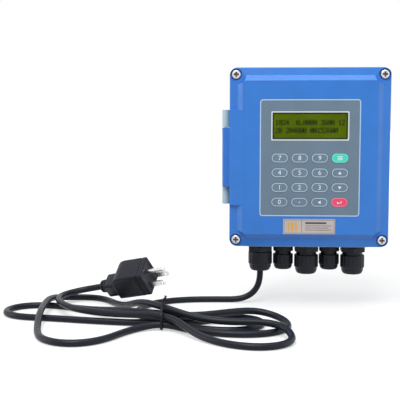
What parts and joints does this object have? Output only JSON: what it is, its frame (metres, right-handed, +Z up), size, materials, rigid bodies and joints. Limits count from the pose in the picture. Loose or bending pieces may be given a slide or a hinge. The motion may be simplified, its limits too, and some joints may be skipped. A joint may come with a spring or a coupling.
{
  "type": "ultrasonic flow meter",
  "caption": "Wall-mounted ultrasonic flow meter with a hinged lid, keypad, display, cable glands and a coiled mains cord with a plug.",
  "frame": {"origin": "middle of the back of the case, where it meets the wall", "axes": "+X to the right seen from the front, +Y into the wall, +Z up; the front faces -Y"},
  "size_m": [0.383, 0.2111, 0.2442],
  "materials": {
    "case_grey": "fine even texture",
    "lid_blue": "semi-gloss paint-like moulding",
    "gland_black": "satin nylon",
    "washer_rubber": "matte",
    "seal_rubber": "matte",
    "brass": "machined",
    "pin_steel": "drawn bar",
    "screw_steel": "zinc plated",
    "screw_nickel": "plated, slightly warm",
    "board_green": "solder mask on glass epoxy",
    "core_iron": "varnished laminations",
    "part_black": "moulded",
    "fuse_glass": "glass with plated caps",
    "relay_blue": "moulded",
    "terminal_green": "moulded",
    "cord_black": "satin jacket",
    "tie_black": "twist tie",
    "plug_black": "moulded",
    "pin_metal": "plated brass",
    "overlay_slate": "printed polyester film",
    "window_clear": "clear film",
    "display_olive": "backlit display",
    "cell_steel": "pressed steel in a black holder",
    "label_silver": "printed foil",
    "key_slate": "embossed film key",
    "key_turquoise": "embossed film key",
    "key_red": "embossed film key"
  },
  "bodies": {
    "base": {"base_shell": "case_grey", "lid_inserts": "brass", "hinge_pin": "pin_steel", "gland_bodies": "gland_black", "gland_washers": "washer_rubber", "gland_locknuts": "gland_black", "gland_seals": "seal_rubber", "power_board": "board_green", "power_board_screws": "screw_steel", "power_transformer": "core_iron", "smoothing_capacitors": "part_black", "mains_fuse": "fuse_glass", "fuse_clips": "brass", "output_relays": "relay_blue", "mains_terminal": "terminal_green", "signal_terminals": "terminal_green", "earth_stud": "brass", "mains_tail": "cord_black", "power_cord_lead": "cord_black", "power_cord_hank": "cord_black", "cord_tie": "tie_black", "plug_body": "plug_black", "plug_pins": "pin_metal"},
    "lid": {"lid_shell": "lid_blue", "lid_gasket": "seal_rubber", "keypad_overlay": "overlay_slate", "lcd_window": "window_clear", "lcd_display": "display_olive", "lcd_frame": "part_black", "main_board": "board_green", "main_board_screws": "screw_steel", "key_switches": "part_black", "board_chips": "part_black", "clock_battery": "cell_steel", "label_plate": "label_silver"},
    "key_7_cap": {"key_7": "key_slate"},
    "key_8_cap": {"key_8": "key_slate"},
    "key_9_cap": {"key_9": "key_slate"},
    "key_menu_cap": {"key_menu": "key_turquoise"},
    "key_4_cap": {"key_4": "key_slate"},
    "key_5_cap": {"key_5": "key_slate"},
    "key_6_cap": {"key_6": "key_slate"},
    "key_up_cap": {"key_up": "key_slate"},
    "key_1_cap": {"key_1": "key_slate"},
    "key_2_cap": {"key_2": "key_slate"},
    "key_3_cap": {"key_3": "key_slate"},
    "key_down_cap": {"key_down": "key_slate"},
    "key_0_cap": {"key_0": "key_slate"},
    "key_dot_cap": {"key_dot": "key_slate"},
    "key_left_cap": {"key_left": "key_slate"},
    "key_enter_cap": {"key_enter": "key_red"},
    "lid_screw_1_body": {"lid_screw_1": "screw_nickel"},
    "lid_screw_2_body": {"lid_screw_2": "screw_nickel"},
    "lid_screw_3_body": {"lid_screw_3": "screw_nickel"},
    "lid_screw_4_body": {"lid_screw_4": "screw_nickel"},
    "gland_nut_1_body": {"gland_nut_1": "gland_black"},
    "gland_nut_2_body": {"gland_nut_2": "gland_black"},
    "gland_nut_3_body": {"gland_nut_3": "gland_black"},
    "gland_nut_4_body": {"gland_nut_4": "gland_black"},
    "gland_nut_5_body": {"gland_nut_5": "gland_black"}
  },
  "joints": [
    {"name": "lid_hinge", "type": "hinge", "parent": "base", "child": "lid", "pos_m": [-0.084, -0.033, 0], "axis": [0, 0, -1], "range_deg": [0, 150]},
    {"name": "key_7_press", "type": "slide", "parent": "lid", "child": "key_7_cap", "axis": [0, 1, 0], "range_m": [0, 0.0004], "stiffness_N_per_m": 1000, "springref_m": -0.001},
    {"name": "key_8_press", "type": "slide", "parent": "lid", "child": "key_8_cap", "axis": [0, 1, 0], "range_m": [0, 0.0004], "stiffness_N_per_m": 1000, "springref_m": -0.001},
    {"name": "key_9_press", "type": "slide", "parent": "lid", "child": "key_9_cap", "axis": [0, 1, 0], "range_m": [0, 0.0004], "stiffness_N_per_m": 1000, "springref_m": -0.001},
    {"name": "key_menu_press", "type": "slide", "parent": "lid", "child": "key_menu_cap", "axis": [0, 1, 0], "range_m": [0, 0.0004], "stiffness_N_per_m": 1000, "springref_m": -0.001},
    {"name": "key_4_press", "type": "slide", "parent": "lid", "child": "key_4_cap", "axis": [0, 1, 0], "range_m": [0, 0.0004], "stiffness_N_per_m": 1000, "springref_m": -0.001},
    {"name": "key_5_press", "type": "slide", "parent": "lid", "child": "key_5_cap", "axis": [0, 1, 0], "range_m": [0, 0.0004], "stiffness_N_per_m": 1000, "springref_m": -0.001},
    {"name": "key_6_press", "type": "slide", "parent": "lid", "child": "key_6_cap", "axis": [0, 1, 0], "range_m": [0, 0.0004], "stiffness_N_per_m": 1000, "springref_m": -0.001},
    {"name": "key_up_press", "type": "slide", "parent": "lid", "child": "key_up_cap", "axis": [0, 1, 0], "range_m": [0, 0.0004], "stiffness_N_per_m": 1000, "springref_m": -0.001},
    {"name": "key_1_press", "type": "slide", "parent": "lid", "child": "key_1_cap", "axis": [0, 1, 0], "range_m": [0, 0.0004], "stiffness_N_per_m": 1000, "springref_m": -0.001},
    {"name": "key_2_press", "type": "slide", "parent": "lid", "child": "key_2_cap", "axis": [0, 1, 0], "range_m": [0, 0.0004], "stiffness_N_per_m": 1000, "springref_m": -0.001},
    {"name": "key_3_press", "type": "slide", "parent": "lid", "child": "key_3_cap", "axis": [0, 1, 0], "range_m": [0, 0.0004], "stiffness_N_per_m": 1000, "springref_m": -0.001},
    {"name": "key_down_press", "type": "slide", "parent": "lid", "child": "key_down_cap", "axis": [0, 1, 0], "range_m": [0, 0.0004], "stiffness_N_per_m": 1000, "springref_m": -0.001},
    {"name": "key_0_press", "type": "slide", "parent": "lid", "child": "key_0_cap", "axis": [0, 1, 0], "range_m": [0, 0.0004], "stiffness_N_per_m": 1000, "springref_m": -0.001},
    {"name": "key_dot_press", "type": "slide", "parent": "lid", "child": "key_dot_cap", "axis": [0, 1, 0], "range_m": [0, 0.0004], "stiffness_N_per_m": 1000, "springref_m": -0.001},
    {"name": "key_left_press", "type": "slide", "parent": "lid", "child": "key_left_cap", "axis": [0, 1, 0], "range_m": [0, 0.0004], "stiffness_N_per_m": 1000, "springref_m": -0.001},
    {"name": "key_enter_press", "type": "slide", "parent": "lid", "child": "key_enter_cap", "axis": [0, 1, 0], "range_m": [0, 0.0004], "stiffness_N_per_m": 1000, "springref_m": -0.001},
    {"name": "lid_screw_1_out", "type": "slide", "parent": "lid", "child": "lid_screw_1_body", "axis": [0, -1, 0], "range_m": [0, 0.006]},
    {"name": "lid_screw_2_out", "type": "slide", "parent": "lid", "child": "lid_screw_2_body", "axis": [0, -1, 0], "range_m": [0, 0.006]},
    {"name": "lid_screw_3_out", "type": "slide", "parent": "lid", "child": "lid_screw_3_body", "axis": [0, -1, 0], "range_m": [0, 0.006]},
    {"name": "lid_screw_4_out", "type": "slide", "parent": "lid", "child": "lid_screw_4_body", "axis": [0, -1, 0], "range_m": [0, 0.006]},
    {"name": "gland_nut_1_turn", "type": "hinge", "parent": "base", "child": "gland_nut_1_body", "pos_m": [-0.048, -0.02, -0.109], "axis": [0, 0, 1], "range_deg": [0, 360]},
    {"name": "gland_nut_2_turn", "type": "hinge", "parent": "base", "child": "gland_nut_2_body", "pos_m": [-0.024, -0.016, -0.1093], "axis": [0, 0, 1], "range_deg": [0, 360]},
    {"name": "gland_nut_3_turn", "type": "hinge", "parent": "base", "child": "gland_nut_3_body", "pos_m": [0, -0.02, -0.112], "axis": [0, 0, 1], "range_deg": [0, 360]},
    {"name": "gland_nut_4_turn", "type": "hinge", "parent": "base", "child": "gland_nut_4_body", "pos_m": [0.024, -0.016, -0.1093], "axis": [0, 0, 1], "range_deg": [0, 360]},
    {"name": "gland_nut_5_turn", "type": "hinge", "parent": "base", "child": "gland_nut_5_body", "pos_m": [0.048, -0.02, -0.112], "axis": [0, 0, 1], "range_deg": [0, 360]}
  ]
}
